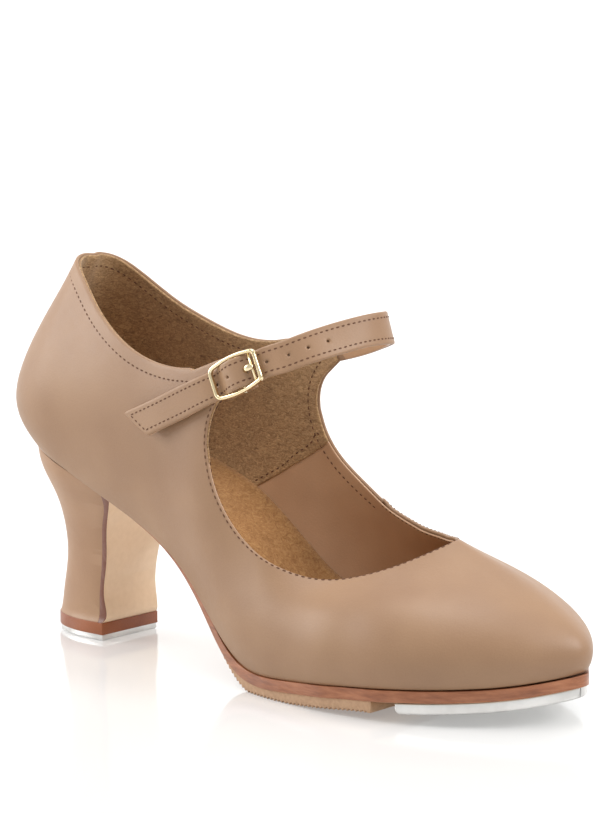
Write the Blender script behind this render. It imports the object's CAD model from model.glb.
import bmesh
import bpy
import math
import numpy as np
from itertools import product
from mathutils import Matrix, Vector
from mathutils.bvhtree import BVHTree
from mathutils.kdtree import KDTree


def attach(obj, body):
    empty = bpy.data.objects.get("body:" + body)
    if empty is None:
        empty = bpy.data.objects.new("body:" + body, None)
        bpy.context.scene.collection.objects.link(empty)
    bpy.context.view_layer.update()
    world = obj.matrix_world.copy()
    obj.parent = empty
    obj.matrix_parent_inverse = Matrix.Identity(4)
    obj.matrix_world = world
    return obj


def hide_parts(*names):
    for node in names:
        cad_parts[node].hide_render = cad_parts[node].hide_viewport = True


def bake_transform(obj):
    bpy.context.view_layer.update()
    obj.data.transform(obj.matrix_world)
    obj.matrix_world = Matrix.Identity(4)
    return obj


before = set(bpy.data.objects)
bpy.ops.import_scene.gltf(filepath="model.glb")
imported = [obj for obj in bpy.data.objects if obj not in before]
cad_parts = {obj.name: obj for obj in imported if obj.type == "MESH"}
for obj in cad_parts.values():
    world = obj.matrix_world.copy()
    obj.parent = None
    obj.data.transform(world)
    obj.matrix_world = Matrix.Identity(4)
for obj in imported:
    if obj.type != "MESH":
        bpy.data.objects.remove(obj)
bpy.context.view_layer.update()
MM = 0.001  # everything is worked out in millimetres and built in metres

# The last's stations, as in the CAD source, in millimetres. A row is the section's turn in
# degrees (or its x), the reach of the feather edge, and (reach, height) of four more points.
FEATHER_LINE = [
    (-24, 67), (0, 60.6), (20, 52.7), (40, 44.1), (58, 33.5), (72, 20.5), (84, 10.5),
    (96, 6.8), (112, 6.8), (140, 9), (170, 11), (188, 13), (204, 18),
]
HEEL_LATERAL = [
    (-180, 23.5, (32.8, 78), (27.8, 93.5), (14.8, 113), (3.8, 131)),
    (-158, 23.5, (32.0, 78), (27.6, 93.5), (15.8, 113), (5.0, 131)),
    (-135, 23.5, (30.0, 77), (26.8, 93), (17.0, 112), (6.6, 131)),
    (-112, 23.5, (28.4, 76), (26.0, 92), (18.2, 111), (8.0, 131)),
    (-90, 23.7, (28.0, 75), (26.2, 91), (19.2, 110.5), (9.5, 131)),
]
SIDE_LATERAL = [
    (16, 24.2, (28.4, 73), (27.2, 90), (21.0, 109), (13.5, 128)),
    (30, 24.3, (29.0, 68), (28.4, 86), (24.4, 103.5), (17.0, 124)),
    (46, 24.0, (29.3, 62), (29.0, 80), (26.2, 97), (19.5, 120)),
    (62, 25.0, (30.5, 54), (30.5, 74), (27.9, 96), (22.0, 117)),
    (76, 27.5, (33.0, 40), (32.3, 64), (28.8, 95), (24.0, 114)),
    (90, 31.8, (36.0, 26), (31.4, 47), (28.6, 78), (26.0, 104)),
    (106, 36.0, (38.4, 20), (34.6, 32.5), (29.0, 40.5), (21.0, 66)),
]
TOE_FAN = [
    (-90, 41.4, (43.4, 19), (38.2, 30.5), (28.3, 37), (20.0, 44)),
    (-70, 43.5, (45.4, 20), (39.5, 31.5), (23.5, 39.6), (17.0, 43)),
    (-50, 50.0, (52.0, 21), (44.5, 33), (21.0, 42), (15.0, 45)),
    (-32, 57.7, (59.5, 21.5), (50.5, 33.5), (21.0, 44.6), (15.0, 47.5)),
    (-16, 66.0, (68.0, 22), (58.0, 33.5), (23.0, 46.6), (16.5, 49.5)),
    (-2, 72.5, (74.4, 21.5), (65.5, 31.0), (25.5, 48.2), (18.5, 51)),
    (12, 64.0, (65.8, 21.5), (55.5, 32.5), (21.0, 47.8), (15.0, 51)),
    (28, 52.5, (54.2, 21), (44.0, 33.5), (16.0, 47.6), (11.0, 51)),
    (46, 43.0, (44.8, 21), (36.6, 34), (14.0, 47.4), (9.0, 50.5)),
    (68, 34.5, (36.5, 21), (31.5, 35), (13.0, 47.4), (8.0, 51)),
    (90, 31.5, (33.6, 20.5), (28.8, 35), (14.0, 47.6), (9.0, 53)),
]
SIDE_MEDIAL = [
    (106, 32.5, (35.0, 21), (31.4, 36), (24.0, 50), (18.5, 72)),
    (90, 28.0, (32.2, 26), (30.6, 42), (27.4, 60), (24.5, 104)),
    (76, 24.0, (29.0, 40), (29.4, 60), (27.0, 85), (24.0, 112)),
    (62, 21.3, (27.0, 54), (28.2, 74), (26.0, 96), (22.0, 117)),
    (46, 21.0, (26.5, 62), (27.2, 80), (24.2, 98), (18.5, 120)),
    (30, 22.8, (27.3, 68), (27.0, 86), (22.4, 103.5), (16.0, 124)),
    (16, 23.6, (27.5, 73), (26.4, 90), (19.8, 109.5), (13.0, 128)),
]
HEEL_MEDIAL = [
    (90, 23.6, (27.6, 75), (25.8, 91), (18.7, 110.5), (9.3, 131)),
    (112, 23.5, (28.2, 76), (25.8, 92), (18.0, 111), (8.0, 131)),
    (135, 23.5, (29.8, 77), (26.6, 93), (17.0, 112), (6.6, 131)),
    (158, 23.5, (32.0, 78), (27.6, 93.5), (15.8, 113), (5.0, 131)),
]
HEEL_CENTRE = (4.0, 0.0)
TOE_CENTRE = (122.0, 4.0)

LATERAL_COLLAR = [(-4.6, 126.8), (6.5, 120.2), (18, 111.4), (30, 104), (42, 98.4), (55, 95.8), (68, 96.2)]
LATERAL_TAB = ((80.5, 100.2), (84.5, 91.2))
LATERAL_FRONT = [
    (78.6, 87.6), (75.6, 77), (78.4, 63), (88.5, 48), (104, 39.6), (118, 36.8), (131, 39), (147.6, 48.3),
]
MEDIAL_COLLAR = [(-4.6, 126.8), (5.5, 119.6), (18, 110), (30, 104.2), (42, 100.2), (51, 99), (62, 100.4)]
MEDIAL_TAB = ((78, 105.2), (83.5, 95.6))
MEDIAL_FRONT = [
    (76.6, 90.4), (72, 80), (76.4, 67.8), (90, 57), (101, 51.4), (113, 48.2), (127, 46.6), (147.6, 48.3),
]
SIDE_SEAM_X = 100.0
LINING_SEAM = ((39.0, 44.0), (76.5, 68.3))


# ---------------------------------------------------------------- curves
def unit(v):
    """A vector, or each of many, at length 1."""
    v = np.asarray(v, float)
    return v / np.linalg.norm(v, axis=-1, keepdims=True)


def chords(points):
    steps = np.linalg.norm(np.diff(points, axis=0), axis=1)
    return np.concatenate([[0.0], np.cumsum(steps)])


def slopes(knots, values, closed):
    """Slopes at the knots of the C2 cubic through values."""
    n = len(knots)
    h = np.diff(knots)
    if closed:
        # the last value repeats the first
        n -= 1
    a = np.zeros((n, n))
    b = np.zeros((n,) + values.shape[1:])
    rows = range(n) if closed else range(1, n - 1)
    for i in rows:
        before = h[i - 1] if i > 0 else h[-1]
        after = h[i]
        last = values[i - 1] if i > 0 else values[-2]
        a[i, (i - 1) % n] += after
        a[i, i] += 2 * (before + after)
        a[i, (i + 1) % n] += before
        b[i] = 3 * (after * (values[i] - last) / before + before * (values[i + 1] - values[i]) / after)
    if closed:
        m = np.linalg.solve(a, b.reshape(n, -1)).reshape(b.shape)
        return np.concatenate([m, m[:1]])
    for i, near in ((0, [0, 1, 2, 3]), (n - 1, [n - 1, n - 2, n - 3, n - 4])):
        near = near[:min(4, n)]
        a[i, i] = 1
        total = 0.0
        x0 = knots[near[0]]
        for j in near:
            others = [k for k in near if k != j]
            bottom = np.prod([knots[j] - knots[k] for k in others])
            top = 0.0
            for k in others:
                rest = [q for q in others if q != k]
                top += np.prod([x0 - knots[q] for q in rest]) if rest else 1.0
            total = total + values[j] * (top / bottom)
        b[i] = total
    return np.linalg.solve(a, b.reshape(n, -1)).reshape(b.shape)


def hermite(knots, values, m, places):
    i = np.clip(np.searchsorted(knots, places, side="right") - 1, 0, len(knots) - 2)
    h = (knots[i + 1] - knots[i])
    t = (places - knots[i]) / h
    shape = (len(places),) + (1,) * (values.ndim - 1)
    t, h = t.reshape(shape), h.reshape(shape)
    return (
        (2 * t**3 - 3 * t**2 + 1) * values[i] + (t**3 - 2 * t**2 + t) * h * m[i]
        + (-2 * t**3 + 3 * t**2) * values[i + 1] + (t**3 - t**2) * h * m[i + 1]
    )


def through(points, count):
    """Points along the smooth open curve through the given ones, evenly spaced."""
    points = np.array(points, float)
    knots = chords(points)
    fine = hermite(knots, points, slopes(knots, points, False), np.linspace(0, knots[-1], 8 * count))
    return evenly(fine, count)


def evenly(line, count):
    run = chords(line)
    at = np.linspace(0, run[-1], count)
    return np.stack([np.interp(at, run, line[:, k]) for k in range(line.shape[1])], axis=1)


def smooth(values, width, closed=False):
    """Gaussian smoothing along the first axis; width is in samples."""
    reach = int(3 * width) + 1
    kernel = np.exp(-0.5 * (np.arange(-reach, reach + 1) / width) ** 2)
    kernel /= kernel.sum()
    flat = values.reshape(len(values), -1)
    padded = np.pad(flat, ((reach, reach), (0, 0)), mode="wrap" if closed else "edge")
    out = np.stack([np.convolve(padded[:, k], kernel, mode="valid") for k in range(flat.shape[1])], axis=1)
    return out.reshape(values.shape)


feather_points = np.array(FEATHER_LINE, float)
feather_fine = through(feather_points, 600)


def feather(x):
    return np.interp(x, feather_fine[:, 0], feather_fine[:, 1])


# ---------------------------------------------------------------- surface of the last
def halfway(row, other):
    if isinstance(row, (int, float)):
        return (row + other) / 2
    return tuple(halfway(a, b) for a, b in zip(row, other))


def refined(rows):
    finer = [rows[0]]
    for row, following in zip(rows, rows[1:]):
        finer += [halfway(row, following), following]
    return finer


SECTION_SAMPLES = 161
RING_SAMPLES = 2400
SPACING_SAMPLE = 45  # the height on the sections along which ring samples are even
SKIN_SMOOTHING = 3.2  # millimetres along the ring


def section(centre, direction, row):
    _, reach, *rest = row
    points = [(reach, feather(centre[0] + reach * direction[0]))] + list(rest)
    line = np.array(points, float)
    knots = chords(line)
    curve = hermite(knots, line, slopes(knots, line, False), np.linspace(0, knots[-1], SECTION_SAMPLES))
    out = np.zeros((SECTION_SAMPLES, 3))
    out[:, 0] = centre[0] + curve[:, 0] * direction[0]
    out[:, 1] = centre[1] + curve[:, 0] * direction[1]
    out[:, 2] = curve[:, 1]
    return out


def fan(centre, rows):
    made = []
    for row in refined(rows):
        turn = math.radians(row[0])
        made.append(section(centre, (math.cos(turn), math.sin(turn)), row))
    return made


sections = fan(HEEL_CENTRE, HEEL_LATERAL)
sections += [section((row[0], 0.0), (0.0, -1.0), row) for row in SIDE_LATERAL]
sections += fan(TOE_CENTRE, TOE_FAN)
sections += [section((row[0], 0.0), (0.0, 1.0), row) for row in SIDE_MEDIAL]
heel_back = (180,) + HEEL_LATERAL[0][1:]
sections += fan(HEEL_CENTRE, HEEL_MEDIAL + [heel_back])
stations = np.array(sections)
ring_knots = chords(stations[:, SPACING_SAMPLE])
ring_length = ring_knots[-1]
ring_places = np.linspace(0, ring_length, RING_SAMPLES, endpoint=False)
ring_step = ring_length / RING_SAMPLES
skin = hermite(ring_knots, stations, slopes(ring_knots, stations, True), ring_places)
skin = smooth(skin, SKIN_SMOOTHING / ring_step, closed=True)
along = np.roll(skin, -1, 0) - np.roll(skin, 1, 0)
up = np.gradient(skin, axis=1)
skin_normal = unit(np.cross(along, up))
if (skin_normal[RING_SAMPLES // 4, 60] @ np.array([0, -1, 0])) < 0:
    skin_normal = -skin_normal
both = np.concatenate([skin, skin_normal], axis=2)


def on_skin(u, v):
    """Point and outward normal at ring samples u and section share v."""
    u = np.mod(np.asarray(u, float), RING_SAMPLES)
    v = np.clip(np.asarray(v, float), 0, 1) * (SECTION_SAMPLES - 1)
    i = np.floor(u).astype(int)
    j = np.minimum(np.floor(v).astype(int), SECTION_SAMPLES - 2)
    fu, fv = (u - i)[..., None], (v - j)[..., None]
    i2 = (i + 1) % RING_SAMPLES
    out = (both[i, j] * (1 - fu) + both[i2, j] * fu) * (1 - fv)
    out += (both[i, j + 1] * (1 - fu) + both[i2, j + 1] * fu) * fv
    return out[..., :3], unit(out[..., 3:])


# ---------------------------------------------------------------- topline
def side_top(collar, tab, front):
    """Height of the topline over x, without the tab, and the tab's edges in side view."""
    collar_line = through(collar, 160)
    front_line = through(front, 400)
    turn = int(np.argmin(front_line[:120, 0]))
    end = front_line[-1]
    slope = (front_line[-1] - front_line[-8])
    beyond = end + slope / slope[0] * 60
    outline = np.vstack([[(-60, 127.6)], collar_line, front_line[turn:], [beyond]])
    base = (collar_line[-1], front_line[turn])
    lower = np.vstack([[tab[1]], front_line[:turn + 1]])[::-1]
    upper = np.vstack([collar_line[-1:], [tab[0]]])
    return outline, base, upper, lower


lateral = side_top(LATERAL_COLLAR, LATERAL_TAB, LATERAL_FRONT)
medial = side_top(MEDIAL_COLLAR, MEDIAL_TAB, MEDIAL_FRONT)
top_share = np.zeros(RING_SAMPLES)
for i in range(RING_SAMPLES):
    column = skin[i]
    is_lateral = column[:, 1] < TOE_CENTRE[1]
    height = np.where(
        is_lateral,
        np.interp(column[:, 0], lateral[0][:, 0], lateral[0][:, 1]),
        np.interp(column[:, 0], medial[0][:, 0], medial[0][:, 1]),
    )
    over = column[:, 2] - height
    j = int(np.argmax(over > 0)) if (over > 0).any() else SECTION_SAMPLES - 1
    j = max(j, 1)
    part = over[j - 1] / (over[j - 1] - over[j]) if over[j] != over[j - 1] else 1.0
    top_share[i] = (j - 1 + min(max(part, 0), 1)) / (SECTION_SAMPLES - 1)
top_share = smooth(top_share, 1.0 / ring_step, closed=True)
ring_u = np.arange(RING_SAMPLES)
topline, _ = on_skin(ring_u, top_share)
foot = skin[:, 0]


def ring_at_x(x, side):
    """Ring sample where the feather edge passes x on one side (-1 lateral, 1 medial)."""
    half = RING_SAMPLES // 2
    toe = int(np.argmax(foot[:, 0]))
    if side < 0:
        span = np.arange(int(np.argmin(foot[:half, 0])), toe)
    else:
        span = np.arange(toe, RING_SAMPLES)[::-1]
    return float(np.interp(x, foot[span, 0], span))


COLUMN_PITCH = 1.35  # along the topline


def top_at(u):
    """Section share of the topline at ring samples u."""
    return np.interp(np.mod(u, RING_SAMPLES), ring_u, top_share, period=RING_SAMPLES)


def columns_between(u0, u1):
    """Ring samples from u0 to u1, closer where the topline runs steeply."""
    fine = np.linspace(u0, u1, int(abs(u1 - u0) * 3) + 8)
    top, _ = on_skin(fine, top_at(fine))
    low, _ = on_skin(fine, np.zeros(len(fine)))
    run = (chords(top) + 0.6 * chords(low)) / 1.4
    count = int(run[-1] / COLUMN_PITCH) + 2
    return np.interp(np.linspace(0, run[-1], count), run, fine)


def skin_at_side(points, side):
    """Skin points and normals for side-view points (x, z) on one side."""
    points = np.asarray(points, float)
    u = np.array([ring_at_x(x, side) for x in points[:, 0]])
    v = np.full(len(points), 0.5)
    shares = np.linspace(0, 1, SECTION_SAMPLES)
    for _ in range(5):
        for k in range(len(points)):
            column = on_skin(np.full(SECTION_SAMPLES, u[k]), shares)[0]
            v[k] = np.interp(points[k, 1], column[:, 2], shares)
        here = on_skin(u, v)[0]
        ahead = on_skin(u + 1.0, v)[0]
        gain = ahead[:, 0] - here[:, 0]
        u += np.clip((points[:, 0] - here[:, 0]) / np.where(abs(gain) < 0.02, 0.02, gain), -30, 30)
    return on_skin(u, v)


# ---------------------------------------------------------------- meshes
def make_object(name, points, faces):
    mesh = bpy.data.meshes.new(name)
    mesh.from_pydata((np.asarray(points) * MM).tolist(), [], faces)
    mesh.validate()
    mesh.polygons.foreach_set("use_smooth", [True] * len(mesh.polygons))
    obj = bpy.data.objects.new(name, mesh)
    bpy.context.scene.collection.objects.link(obj)
    return obj


def grid_faces(rows, cols):
    corners = [i * cols + j for i in range(rows - 1) for j in range(cols - 1)]
    return [(a, a + 1, a + cols + 1, a + cols) for a in corners]


NEIGHBOURS = list(product((0, -1, 1), repeat=3))


def welded(points, normals, faces, gap=0.02):
    """Points merged where they meet."""
    keys = {}
    new_points, new_normals, index = [], [], []
    for p, n in zip(points, normals):
        x, y, z = (int(k) for k in np.round(p / gap))
        around = ((x + i, y + j, z + k) for i, j, k in NEIGHBOURS)
        found = next((keys[cell] for cell in around if cell in keys), None)
        if found is None:
            found = len(new_points)
            keys[(x, y, z)] = found
            new_points.append(p)
            new_normals.append(n)
        index.append(found)
    merged_faces = (tuple(dict.fromkeys(index[k] for k in face)) for face in faces)
    return np.array(new_points), np.array(new_normals), [f for f in merged_faces if len(f) > 2]


def outward_faces(points, normals, faces):
    """The faces, all turned round if most of them look against the normals."""
    a, b, c = (points[[f[k] for f in faces]] for k in range(3))
    score = np.einsum("ij,ij->i", np.cross(b - a, c - b), normals[[f[0] for f in faces]])
    if np.sum(score) < 0:
        faces = [f[::-1] for f in faces]
    return faces


def rims(faces):
    """Directed boundary loops."""
    edges = {}
    for f in faces:
        for k in range(len(f)):
            edges[(f[k], f[(k + 1) % len(f)])] = True
    following = {a: b for (a, b) in edges if (b, a) not in edges}
    loops = []
    while following:
        start = next(iter(following))
        loop = [start]
        step = following.pop(start)
        while step != start and step in following:
            loop.append(step)
            step = following.pop(step)
        loops.append(loop)
    return loops


def thick(points, normals, faces, depth, rounds=6):
    """Closed sheet of leather under the given face, with a rounded rim."""
    points, normals, faces = welded(points, normals, faces)
    faces = outward_faces(points, normals, faces)
    total = [points, points - normals * depth]
    n = len(points)
    out_faces = list(faces) + [tuple(k + n for k in f[::-1]) for f in faces]
    offset = 2 * n
    for loop in rims(faces):
        loop = np.array(loop)
        p = points[loop]
        ahead, behind = np.roll(p, -1, 0), np.roll(p, 1, 0)
        to_next, to_last = ahead - p, p - behind
        to_next /= np.linalg.norm(to_next, axis=1, keepdims=True) + 1e-9
        to_last /= np.linalg.norm(to_last, axis=1, keepdims=True) + 1e-9
        tangent = to_next + to_last
        tangent /= np.linalg.norm(tangent, axis=1, keepdims=True) + 1e-9
        out = np.cross(tangent, normals[loop])
        out /= np.linalg.norm(out, axis=1, keepdims=True) + 1e-9
        r = depth / 2
        rows = [loop]
        for k in range(1, rounds):
            angle = math.pi * k / rounds
            ring = p - normals[loop] * r * (1 - math.cos(angle)) + out * r * math.sin(angle)
            total.append(ring)
            rows.append(np.arange(offset, offset + len(loop)))
            offset += len(loop)
        rows.append(loop + n)
        for row, lower in zip(rows, rows[1:]):
            for k in range(len(loop)):
                k2 = (k + 1) % len(loop)
                out_faces.append((int(row[k2]), int(row[k]), int(lower[k]), int(lower[k2])))
    return np.vstack(total), [tuple(int(k) for k in f) for f in out_faces]


WALL_ROWS = 46
TAB_STEPS = 16


def body_sheet(us, low_share, depth=0.0, drop=0.0):
    """Grid of the skin from the feather edge to the topline, or to a drop below it."""
    shares = low_share + (1 - low_share) * np.linspace(0, 1, WALL_ROWS) ** 0.9
    u = np.repeat(us[:, None], WALL_ROWS, 1)
    v = top_at(us)[:, None] * shares[None, :]
    points, normals = on_skin(u, v)
    if drop:
        length = np.linalg.norm(np.diff(points, axis=1), axis=2).sum(1)
        keep = 1 - drop / np.maximum(length, 1e-6)
        points, normals = on_skin(u, v * keep[:, None])
    points = points - normals * depth
    return points.reshape(-1, 3), normals.reshape(-1, 3), grid_faces(len(us), WALL_ROWS)


def tab_sheet(us, side, shape, depth=0.0):
    """Tab that runs forward from the topline between the columns us."""
    _, _, upper, lower = shape
    base_points, base_normals = on_skin(us, top_at(us))
    base_side = base_points[:, [0, 2]]
    order = 1 if base_side[0, 1] > base_side[-1, 1] else -1
    high_edge = evenly(np.vstack([base_side[::order][:1], upper[1:]]), TAB_STEPS + 1)
    low_edge = evenly(np.vstack([base_side[::order][-1:], lower[1:]]), TAB_STEPS + 1)
    count = len(us)
    end_edge = np.linspace(high_edge[-1], low_edge[-1], count)
    start_edge = base_side[::order]
    points, normals = [base_points[::order]], [base_normals[::order]]
    for j in range(1, TAB_STEPS + 1):
        s = j / TAB_STEPS
        w = np.linspace(0, 1, count)[:, None]
        row = (1 - s) * start_edge + s * end_edge
        row = row + (1 - w) * (high_edge[j] - row[0]) + w * (low_edge[j] - row[-1])
        p, n = skin_at_side(row, side)
        points.append(p)
        normals.append(n)
    points = np.array(points)
    normals = np.array(normals)
    points = points - normals * depth
    return points.reshape(-1, 3), normals.reshape(-1, 3), grid_faces(TAB_STEPS + 1, count)


def joined(*sheets):
    points, normals, faces, start = [], [], [], 0
    for p, n, f in sheets:
        points.append(p)
        normals.append(n)
        faces += [tuple(k + start for k in face) for face in outward_faces(p, n, f)]
        start += len(p)
    return np.vstack(points), np.vstack(normals), faces


def top_u_at_x(x, side, low, high):
    """Ring sample where the topline passes x."""
    span = np.arange(int(low), int(high)) if side < 0 else np.arange(int(low), int(high))[::-1]
    return float(np.interp(x, topline[span % RING_SAMPLES, 0], span))


lateral_span = (ring_at_x(30, -1), ring_at_x(100, -1))
medial_span = (ring_at_x(100, 1), ring_at_x(30, 1))
lat_a = top_u_at_x(lateral[1][0][0], -1, *lateral_span)
lat_d = top_u_at_x(lateral[1][1][0], -1, *lateral_span)
med_a = top_u_at_x(medial[1][0][0], 1, *medial_span)
med_d = top_u_at_x(medial[1][1][0], 1, *medial_span)
seam_u = ring_at_x(SIDE_SEAM_X, 1)

HEEL_OVERLAP = 2.2  # ring samples by which the two leathers cross at the back seam
ACROSS = 23  # points across the strap and across a tab
lateral_tab_us = np.linspace(lat_a, lat_d, ACROSS)
medial_tab_us = np.linspace(med_d, med_a, ACROSS)
vamp_us = np.concatenate([
    [-HEEL_OVERLAP], columns_between(0, lat_a)[:-1], lateral_tab_us, columns_between(lat_d, seam_u)[1:],
])
quarter_us = np.concatenate([
    columns_between(seam_u, med_d)[:-1], medial_tab_us, columns_between(med_a, RING_SAMPLES)[1:],
    [RING_SAMPLES + HEEL_OVERLAP],
])

LEATHER = 1.2
STRAP_LINING = 0.8
SUEDE = 1.0
VAMP_LINING = 0.65
CLOTH = 0.04
SOCK = 0.8
FOOT_SHARE = 0.012


# ---------------------------------------------------------------- instep strap
BUCKLE_CENTRE = np.array([88.4, -29.0, 96.3])
buckle_z = unit([0.12, -0.985, 0.12])
buckle_x = np.array([0.897, 0.14, 0.435])
buckle_x = unit(buckle_x - buckle_z * (buckle_x @ buckle_z))
buckle_y = np.cross(buckle_z, buckle_x)


def in_buckle(along, across, out):
    along, across, out = (np.asarray(v, float)[..., None] for v in (along, across, out))
    return BUCKLE_CENTRE + along * buckle_x + across * buckle_y + out * buckle_z


STRAP_WIDTH = 10.0
PRONG_ROW = 10
HOLE_PITCH = 6.9
HOLE_COUNT = 7
HOLES_PAST_PRONG = 2
HOLE_RADIUS = 0.95
PRONG_HOLE_RADIUS = 1.3
HOLE_REACH = 3  # grid cells round a hole's centre that its own ring of faces replaces
STRAP_ROOT_ROWS = 12  # rows that ease from the tab's end into the strap
WIDTH_IN_BUCKLE = 8.2


def on_buckle(along, out):
    return tuple(in_buckle(along, side * WIDTH_IN_BUCKLE / 2, out) for side in (-1, 1))


STRAP_ROUTE = [
    ((84.2, 26.4, 95.9), (78.6, 25.4, 105.4)),
    ((96, 26, 99.3), (91.8, 24.8, 108.7)),
    ((106, 22.6, 102.6), (103, 21.4, 111.8)),
    ((112.6, 14.5, 104.2), (110.8, 13.8, 113.2)),
    ((114, 4, 104.7), (112, 4, 113.2)),
    ((111.2, -9, 103.1), (107.6, -8.6, 111.1)),
    ((105.8, -21, 100.0), (102.2, -20, 107.8)),
    ((102.2, -24.7, 98.2), (98.9, -23.9, 106.0)),
    on_buckle(9.8, 0.7),
    on_buckle(6.1, 1.0),
    on_buckle(4.4, 2.5),
    on_buckle(1.7, 4.0),
    on_buckle(-1.7, 4.0),
    on_buckle(-4.6, 2.6),
    on_buckle(-7.3, 1.0),
    on_buckle(-10.0, 1.2),
    ((68.3, -33.4, 82.0), (64.3, -32.65, 89.8)),
    ((56.4, -33.8, 76.6), (52.4, -32.75, 84.4)),
    ((47.5, -33.55, 72.2), (43.5, -32.5, 80.7)),
    ((41.5, -33.15, 69.2), (37.5, -32.1, 78.0)),
]
TAIL_HIGH_X = 43.4
TAIL_LOW_X = 54.0
STRAP_STEP = 0.5

route = np.array([[np.asarray(low, float), np.asarray(high, float)] for low, high in STRAP_ROUTE])
route_middles = route.mean(axis=1)
route_knots = chords(route_middles)
route_slopes = slopes(route_knots, route, False)


def strap_edges(places):
    return hermite(route_knots, route, route_slopes, places)


fine_places = np.linspace(0, route_knots[-1], 4000)
fine_edges = strap_edges(fine_places)
fine_middles = fine_edges.mean(axis=1)
fine_run = chords(fine_middles)
lateral_part = fine_edges[:, 0, 1] < -20
high_end = np.interp(-TAIL_HIGH_X, -fine_edges[lateral_part, 1, 0], fine_run[lateral_part])
low_end = np.interp(-TAIL_LOW_X, -fine_edges[lateral_part, 0, 0], fine_run[lateral_part])
STRAP_LENGTH = float(high_end)
TAIL_ZONE = 14.0


def strap_point(run, share):
    """Point of the strap's outer face at a length along it and a share across it, 0 low and 1 high."""
    run, share = np.broadcast_arrays(np.asarray(run, float), np.asarray(share, float))
    end = low_end + (high_end - low_end) * share
    start = STRAP_LENGTH - TAIL_ZONE
    bent = np.where(run > start, start + (run - start) * (end - start) / TAIL_ZONE, run)
    edges = strap_edges(np.interp(bent.ravel(), fine_run, fine_places))
    edges = edges.reshape(run.shape + (2, 3))
    return edges[..., 0, :] * (1 - share[..., None]) + edges[..., 1, :] * share[..., None]


def strap_normal(run, share):
    d = 0.3
    run = np.clip(run, d, STRAP_LENGTH - d)
    forward = strap_point(run + d, share) - strap_point(run - d, share)
    upward = strap_point(run, np.minimum(share + 0.05, 1)) - strap_point(run, np.maximum(share - 0.05, 0))
    return unit(np.cross(upward, forward))


def strap_sheet(depth=0.0, first_row=None, punched=range(HOLE_COUNT)):
    """Grid of the strap with its punched holes, from its high edge to its low one.

    first_row is where the strap's first row starts. punched are the numbers of the holes.
    """
    count = int(STRAP_LENGTH / STRAP_STEP) + 1
    runs = np.linspace(0, STRAP_LENGTH, count)
    shares = np.linspace(1, 0, ACROSS)
    grid_run, grid_share = np.meshgrid(runs, shares, indexing="ij")
    points = strap_point(grid_run, grid_share)
    normals = strap_normal(grid_run, grid_share)
    if first_row is not None:
        shift = first_row - points[0]
        for k in range(STRAP_ROOT_ROWS):
            points[k] += shift * (1 - k / STRAP_ROOT_ROWS) ** 2
    prong_run = np.interp(route_knots[PRONG_ROW], fine_places, fine_run)
    faces_gone = set()
    extra_points, extra_normals, extra_faces = [], [], []
    base = count * ACROSS
    middle = ACROSS // 2
    reach = HOLE_REACH
    for i in punched:
        run = prong_run + (HOLES_PAST_PRONG - i) * HOLE_PITCH
        radius = PRONG_HOLE_RADIUS if i == HOLES_PAST_PRONG else HOLE_RADIUS
        k = int(round(run / runs[1]))
        centre = points[k, middle]
        t = unit(points[k + 1, middle] - points[k - 1, middle])
        n = normals[k, middle]
        b = np.cross(n, t)
        ring = [(k - reach + q, middle - reach) for q in range(2 * reach)]
        ring += [(k + reach, middle - reach + q) for q in range(2 * reach)]
        ring += [(k + reach - q, middle + reach) for q in range(2 * reach)]
        ring += [(k - reach, middle + reach - q) for q in range(2 * reach)]
        size = len(ring)
        for q, (row, column) in enumerate(ring):
            offset = points[row, column] - centre
            angle = math.atan2(offset @ b, offset @ t)
            place = centre + radius * (math.cos(angle) * t + math.sin(angle) * b)
            height = offset @ n
            place = place + n * height * (radius / max(np.linalg.norm(offset), radius)) ** 2
            extra_points.append(place)
            extra_normals.append(n)
        for q in range(size):
            q2 = (q + 1) % size
            a0 = ring[q][0] * ACROSS + ring[q][1]
            a1 = ring[q2][0] * ACROSS + ring[q2][1]
            extra_faces.append((a0, a1, base + q2, base + q))
        base += size
        for row in range(k - reach, k + reach):
            for column in range(middle - reach, middle + reach):
                faces_gone.add((row, column))
    faces = []
    for row in range(count - 1):
        for column in range(ACROSS - 1):
            if (row, column) not in faces_gone:
                a0 = row * ACROSS + column
                faces.append((a0, a0 + 1, a0 + ACROSS + 1, a0 + ACROSS))
    points = np.vstack([points.reshape(-1, 3), np.array(extra_points)])
    normals = np.vstack([normals.reshape(-1, 3), np.array(extra_normals)])
    points = points - normals * depth
    used = sorted({k for f in faces + extra_faces for k in f})
    number = {old: new for new, old in enumerate(used)}
    faces = [tuple(number[k] for k in f) for f in faces]
    extra_faces = [tuple(number[k] for k in f) for f in extra_faces]
    points, normals = points[used], normals[used]
    extra_faces = outward_faces(points, normals, extra_faces) if extra_faces else []
    return points, normals, outward_faces(points, normals, faces) + extra_faces


# ---------------------------------------------------------------- upper leather
def sheet_of(us):
    return body_sheet(us, low_share=FOOT_SHARE)


vamp_sheet = joined(sheet_of(vamp_us), tab_sheet(lateral_tab_us, -1, lateral))
# the vamp laps over the quarter at the medial side seam
LAP = 5.0
LAP_LIFT = 0.55
lap_points, lap_normals, lap_faces = vamp_sheet
on_medial_side = lap_points[:, 1] > 10
behind_seam = np.clip(1 - (lap_points[:, 0] - SIDE_SEAM_X) / LAP, 0, 1) * on_medial_side
behind_seam = behind_seam**2 * (3 - 2 * behind_seam)
lap_points = lap_points + lap_normals * (LAP_LIFT * behind_seam)[:, None]
vamp_sheet = (lap_points, lap_normals, lap_faces)

medial_tab = tab_sheet(medial_tab_us, 1, medial)
strap_outer = strap_sheet(first_row=medial_tab[0][-ACROSS:])
quarter_sheet = joined(sheet_of(quarter_us), medial_tab, strap_outer)

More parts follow.
